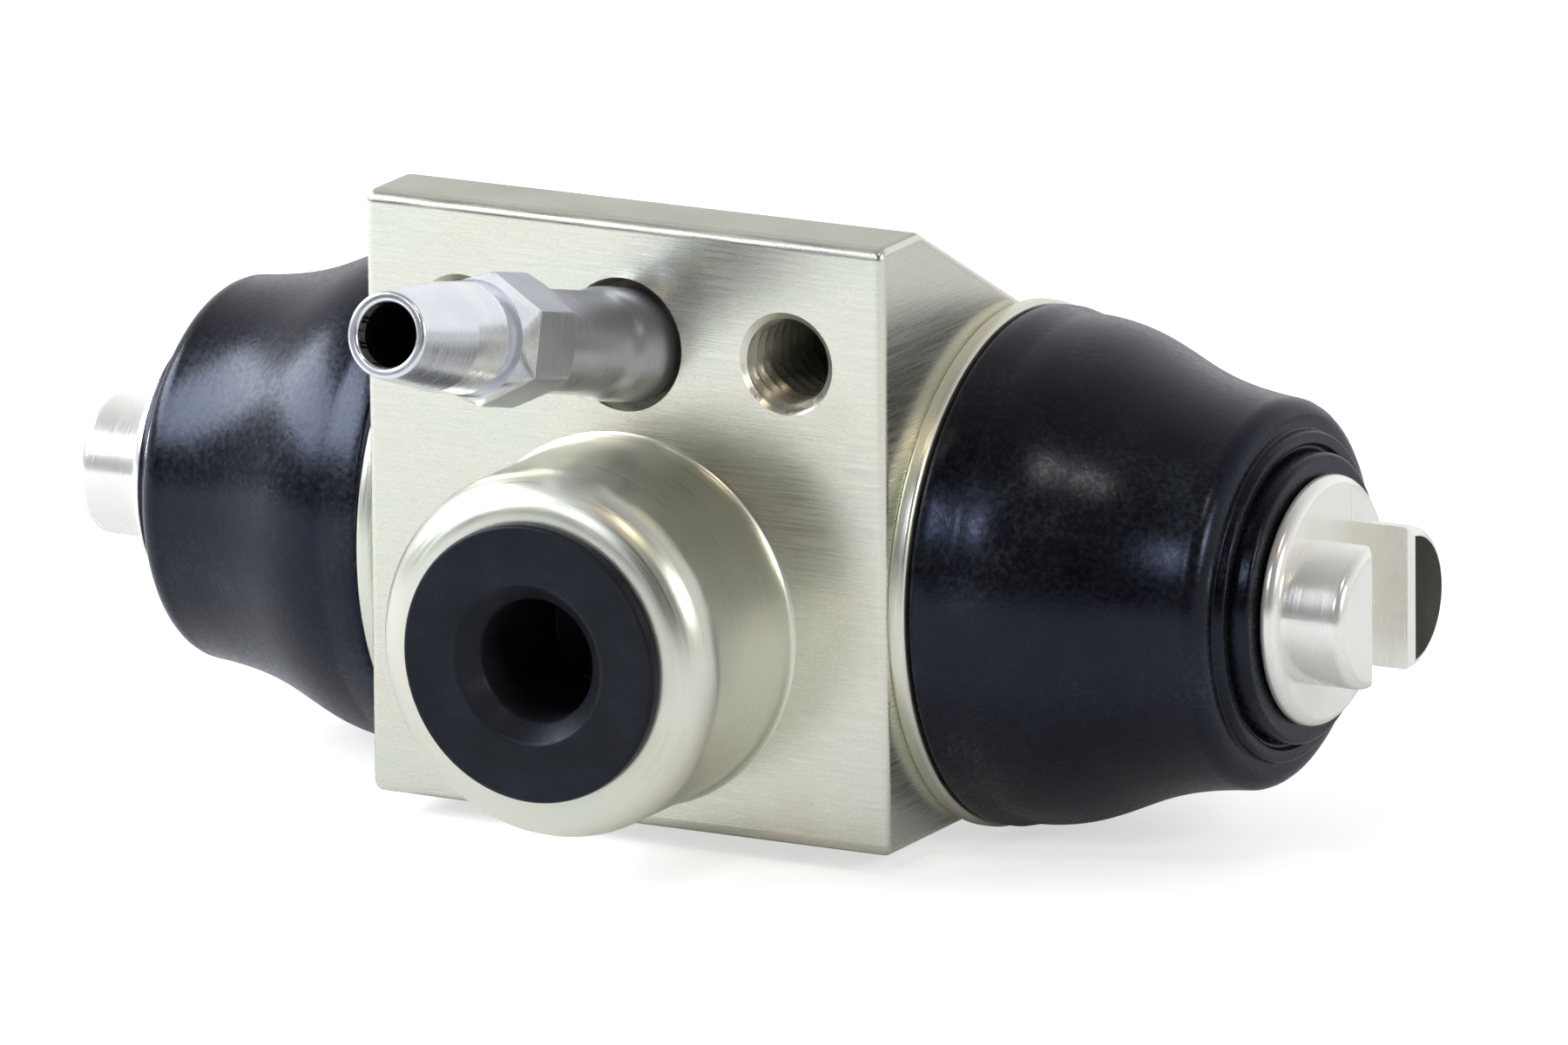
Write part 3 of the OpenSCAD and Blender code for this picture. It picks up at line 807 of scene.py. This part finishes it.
# Inlet plug
# A soft plastic transport plug, moulded in one piece: a flange that covers the face of the boss and a
# hollow stem that is pushed into the inlet thread.
plug_low, plug_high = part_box("inlet_plug")
plug_flange_r = (plug_high.x - plug_low.x) / 2
plug_flange_edge = 0.3 * mm
plug_front = -plug_low.y
plug_stem_end = -plug_high.y
plug_clear = 0.05 * mm
plug_stem_r = inlet_core_r - plug_clear
plug_stem_edge = 0.6 * mm
plug_hollow_r = plug_stem_r - 0.7 * mm
plug_mouth_w = 1.2 * mm
plug_mouth_edge = 0.5 * mm
plug_mouth_r = plug_hollow_r + plug_mouth_w
plug_floor = plug_stem_end + 0.7 * mm
plug_floor_edge = 0.3 * mm
plug_shades = [(0.007, 0.008, 0.010), (0.011, 0.012, 0.015), (0.017, 0.019, 0.023)]
plug_sockets = {"Specular IOR Level": 0.18, "Specular Tint": (0.7, 0.8, 1.0, 1.0)}
plug_plastic = finish("plug_plastic", plug_shades, patch=3 * mm, grain=0.25 * mm, roughness=(0.34, 0.46),
                      relief=0.012 * mm, sockets=plug_sockets)
plug_rows = softened([
    (plug_stem_end, 0, 0),
    (plug_stem_end, plug_stem_r, plug_stem_edge),
    (boss_len, plug_stem_r, 0),
    (boss_len, plug_flange_r, 0),
    (plug_front, plug_flange_r, plug_flange_edge),
    (plug_front, plug_mouth_r, plug_mouth_edge),
    (plug_front - plug_mouth_w, plug_hollow_r, plug_mouth_edge),
    (plug_floor, plug_hollow_r, plug_floor_edge),
    (plug_floor, 0, 0)])
plug = wrapped("transport_plug", plug_rows, boss_place, plug_plastic)
smoothed(plug)
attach(plug, "cylinder")
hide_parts("inlet_plug")

# Floor, light and camera
# A white table in a light tent that is open, and so dark, at the front, with a strip lamp at the left, small
# lamps above, at the front and at the right, and a long lens a metre and a half away. The camera sees table
# and tent white, and the metal mirrors them with less glow and with the tent's dark opening.
white = (1, 1, 1, 1)
floor_half = 4
floor_signs = ((-1, -1), (1, -1), (1, 1), (-1, 1))
floor_corners = [(x * floor_half, y * floor_half, cad_low.z) for x, y in floor_signs]
floor_mesh = bpy.data.meshes.new("floor")
floor_mesh.from_pydata(floor_corners, [], [(0, 1, 2, 3)])
floor = bpy.data.objects.new("floor", floor_mesh)
bpy.context.scene.collection.objects.link(floor)
seen_glow = 0.6
mirrored_glow = 0.06
table = bpy.data.materials.new("white_table")
table.use_nodes = True
table_nodes = table.node_tree.nodes
table_links = table.node_tree.links
table_paint = table_nodes["Principled BSDF"]
table_paint.inputs["Base Color"].default_value = (0.75, 0.76, 0.77, 1)
table_paint.inputs["Roughness"].default_value = 0.9
table_paint.inputs["Emission Color"].default_value = white
table_path = table_nodes.new("ShaderNodeLightPath")
table_seen = table_nodes.new("ShaderNodeMath")
table_seen.operation = "MULTIPLY"
table_seen.inputs[1].default_value = seen_glow
table_links.new(table_path.outputs["Is Camera Ray"], table_seen.inputs[0])
table_mirrored = table_nodes.new("ShaderNodeMath")
table_mirrored.operation = "MAXIMUM"
table_links.new(table_path.outputs["Is Glossy Ray"], table_mirrored.inputs[0])
table_links.new(table_path.outputs["Is Transmission Ray"], table_mirrored.inputs[1])
table_glow = table_nodes.new("ShaderNodeMath")
table_glow.operation = "MULTIPLY_ADD"
table_glow.inputs[1].default_value = mirrored_glow
table_links.new(table_mirrored.outputs["Value"], table_glow.inputs[0])
table_links.new(table_seen.outputs["Value"], table_glow.inputs[2])
table_links.new(table_glow.outputs["Value"], table_paint.inputs["Emission Strength"])
floor_mesh.materials.append(table)

opening_direction = (-0.05, -0.92, 0.38)
opening_light = 0.02
world = bpy.data.worlds.new("studio")
bpy.context.scene.world = world
world.use_nodes = True
sky_nodes = world.node_tree.nodes
sky_links = world.node_tree.links
tent = sky_nodes["Background"]
tent.inputs["Color"].default_value = (0.97, 0.985, 1.0, 1)
tent_direction = sky_nodes.new("ShaderNodeTexCoord")
towards_opening = sky_nodes.new("ShaderNodeVectorMath")
towards_opening.operation = "DOT_PRODUCT"
towards_opening.inputs[1].default_value = opening_direction
sky_links.new(tent_direction.outputs["Generated"], towards_opening.inputs[0])
tent_light = sky_nodes.new("ShaderNodeMapRange")
tent_light.inputs["From Min"].default_value = -0.6
tent_light.inputs["From Max"].default_value = 0.85
tent_light.inputs["To Min"].default_value = 1
tent_light.inputs["To Max"].default_value = opening_light
sky_links.new(towards_opening.outputs["Value"], tent_light.inputs["Value"])
sky_links.new(tent_light.outputs["Result"], tent.inputs["Strength"])
backdrop = sky_nodes.new("ShaderNodeBackground")
backdrop.inputs["Color"].default_value = white
backdrop.inputs["Strength"].default_value = 1
sky_path = sky_nodes.new("ShaderNodeLightPath")
sky_seen = sky_nodes.new("ShaderNodeMath")
sky_seen.operation = "MAXIMUM"
sky_links.new(sky_path.outputs["Is Camera Ray"], sky_seen.inputs[0])
sky_links.new(sky_path.outputs["Is Transmission Ray"], sky_seen.inputs[1])
sky_mix = sky_nodes.new("ShaderNodeMixShader")
sky_links.new(sky_seen.outputs["Value"], sky_mix.inputs["Fac"])
sky_links.new(tent.outputs["Background"], sky_mix.inputs[1])
sky_links.new(backdrop.outputs["Background"], sky_mix.inputs[2])
sky_links.new(sky_mix.outputs["Shader"], sky_nodes["World Output"].inputs["Surface"])
lamp_distance = 0.5


def lamp(name, direction, width, height, power, colour):
    """A soft rectangular lamp that shines on the bore's centre from that direction."""
    light = bpy.data.lights.new(name, "AREA")
    light.shape = "RECTANGLE"
    light.size = width
    light.size_y = height
    light.energy = power
    light.color = colour
    lamp_object = bpy.data.objects.new(name, light)
    towards = Vector(direction).normalized()
    lamp_object.location = bore_centre + towards * lamp_distance
    lamp_object.rotation_euler = towards.to_track_quat("Z", "Y").to_euler()
    lamp_object.visible_camera = False
    bpy.context.scene.collection.objects.link(lamp_object)


lamp("strip_lamp", (-0.78, -0.32, 0.51), width=0.48, height=0.20, power=3.0, colour=(0.93, 0.96, 1.0))
lamp("front_spot", (-0.18, -0.86, 0.48), width=0.05, height=0.10, power=0.25, colour=(0.84, 0.87, 1.0))
lamp("warm_spot", (0.29, -0.47, 0.83), width=0.05, height=0.05, power=0.2, colour=(1.0, 0.82, 0.62))
lamp("side_lamp", (0.84, -0.34, 0.42), width=0.12, height=0.12, power=0.6, colour=(1.0, 0.98, 0.95))

photo_w = 1800
photo_h = 1200
bore_pixel = (866.02, 608.05)
pixels_per_metre = 18944.1
camera_distance = 1.4908
azimuth = math.radians(28.5807)
elevation = math.radians(14.1756)
roll = math.radians(0.5404)
level_right = Vector((math.cos(azimuth), math.sin(azimuth), 0))
level_back = Vector((math.sin(azimuth), -math.cos(azimuth), 0))
towards_camera = math.cos(elevation) * level_back + math.sin(elevation) * up
level_up = towards_camera.cross(level_right)
camera_right = math.cos(roll) * level_right - math.sin(roll) * level_up
camera_up = math.sin(roll) * level_right + math.cos(roll) * level_up
aim = bore_centre + camera_right * (photo_w / 2 - bore_pixel[0]) / pixels_per_metre
aim += camera_up * (bore_pixel[1] - photo_h / 2) / pixels_per_metre
lens = bpy.data.cameras.new("long_lens")
lens.sensor_width = 36
lens.lens = lens.sensor_width * pixels_per_metre * camera_distance / photo_w
camera = bpy.data.objects.new("camera", lens)
camera_turn = Matrix((camera_right, camera_up, towards_camera)).transposed().to_4x4()
camera.matrix_world = Matrix.Translation(aim + towards_camera * camera_distance) @ camera_turn
bpy.context.scene.collection.objects.link(camera)
bpy.context.scene.camera = camera
bpy.context.scene.view_settings.view_transform = "Standard"
